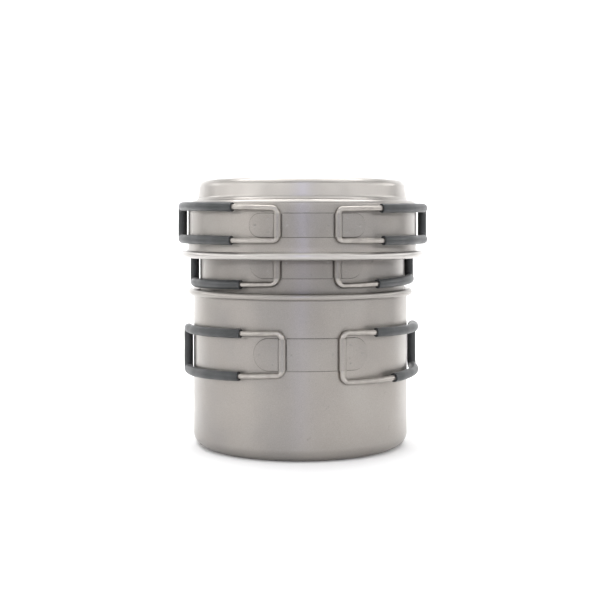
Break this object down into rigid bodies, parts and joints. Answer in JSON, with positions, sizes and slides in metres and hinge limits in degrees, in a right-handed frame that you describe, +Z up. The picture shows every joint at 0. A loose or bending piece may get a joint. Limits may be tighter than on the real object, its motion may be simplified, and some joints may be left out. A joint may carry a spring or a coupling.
{
  "type": "cooking pot set",
  "caption": "Nested camping cookset: round pots and an upside-down pan as the lid, each with folding wire handles and soft grips on a spot-welded hinge strap.",
  "frame": {"origin": "centre of the large pot's flat base", "axes": "+Z up; the large pot's hinge strap is on the -Y side, so +X is to the right of somebody who looks at the strap; metres"},
  "size_m": [0.1486, 0.1446, 0.1562],
  "materials": {
    "titanium_sheet": "bead-blasted titanium sheet, warm mid grey, satin",
    "titanium_strap": "stamped titanium sheet, satin",
    "spot_weld": "small heat-marked spot welds",
    "wire": "smooth satin titanium wire",
    "silicone_grip": "matt dark grey silicone sleeve"
  },
  "bodies": {
    "big_pot": {"big_pot": "titanium_sheet", "big_pot_hinge_strap": "titanium_strap", "big_pot_spot_welds": "spot_weld"},
    "big_left_handle": {"big_left_handle_wire": "wire", "big_left_grip": "silicone_grip"},
    "big_right_handle": {"big_right_handle_wire": "wire", "big_right_grip": "silicone_grip"},
    "middle_pot": {"middle_pot": "titanium_sheet", "middle_pot_hinge_strap": "titanium_strap", "middle_pot_spot_welds": "spot_weld"},
    "middle_left_handle": {"middle_left_handle_wire": "wire", "middle_left_grip": "silicone_grip"},
    "middle_right_handle": {"middle_right_handle_wire": "wire", "middle_right_grip": "silicone_grip"},
    "pan": {"pan": "titanium_sheet", "pan_hinge_strap": "titanium_strap", "pan_spot_welds": "spot_weld"},
    "pan_left_handle": {"pan_left_handle_wire": "wire", "pan_left_grip": "silicone_grip"},
    "pan_right_handle": {"pan_right_handle_wire": "wire", "pan_right_grip": "silicone_grip"}
  },
  "joints": [
    {"name": "middle_pot_lift", "type": "slide", "parent": "big_pot", "child": "middle_pot", "axis": [0, 0, 1], "range_m": [0, 0.1]},
    {"name": "pan_lift", "type": "slide", "parent": "middle_pot", "child": "pan", "axis": [0, 0, 1], "range_m": [0, 0.1]},
    {"name": "big_left_handle_swing", "type": "hinge", "parent": "big_pot", "child": "big_left_handle", "pos_m": [-0.0166, -0.06305, 0.059], "axis": [0, 0, 1], "range_deg": [0, 125]},
    {"name": "big_right_handle_swing", "type": "hinge", "parent": "big_pot", "child": "big_right_handle", "pos_m": [0.0166, -0.06305, 0.059], "axis": [0, 0, -1], "range_deg": [0, 125]},
    {"name": "middle_left_handle_swing", "type": "hinge", "parent": "middle_pot", "child": "middle_left_handle", "pos_m": [-0.01905, -0.05923, 0.109], "axis": [0, 0, 1], "range_deg": [0, 0.3]},
    {"name": "middle_right_handle_swing", "type": "hinge", "parent": "middle_pot", "child": "middle_right_handle", "pos_m": [0.01408, -0.06126, 0.109], "axis": [0, 0, -1], "range_deg": [0, 0.3]},
    {"name": "pan_left_handle_swing", "type": "hinge", "parent": "pan", "child": "pan_left_handle", "pos_m": [-0.01949, -0.06645, 0.1297], "axis": [0, 0, 1], "range_deg": [0, 125]},
    {"name": "pan_right_handle_swing", "type": "hinge", "parent": "pan", "child": "pan_right_handle", "pos_m": [0.01364, -0.06848, 0.1297], "axis": [0, 0, -1], "range_deg": [0, 125]}
  ]
}
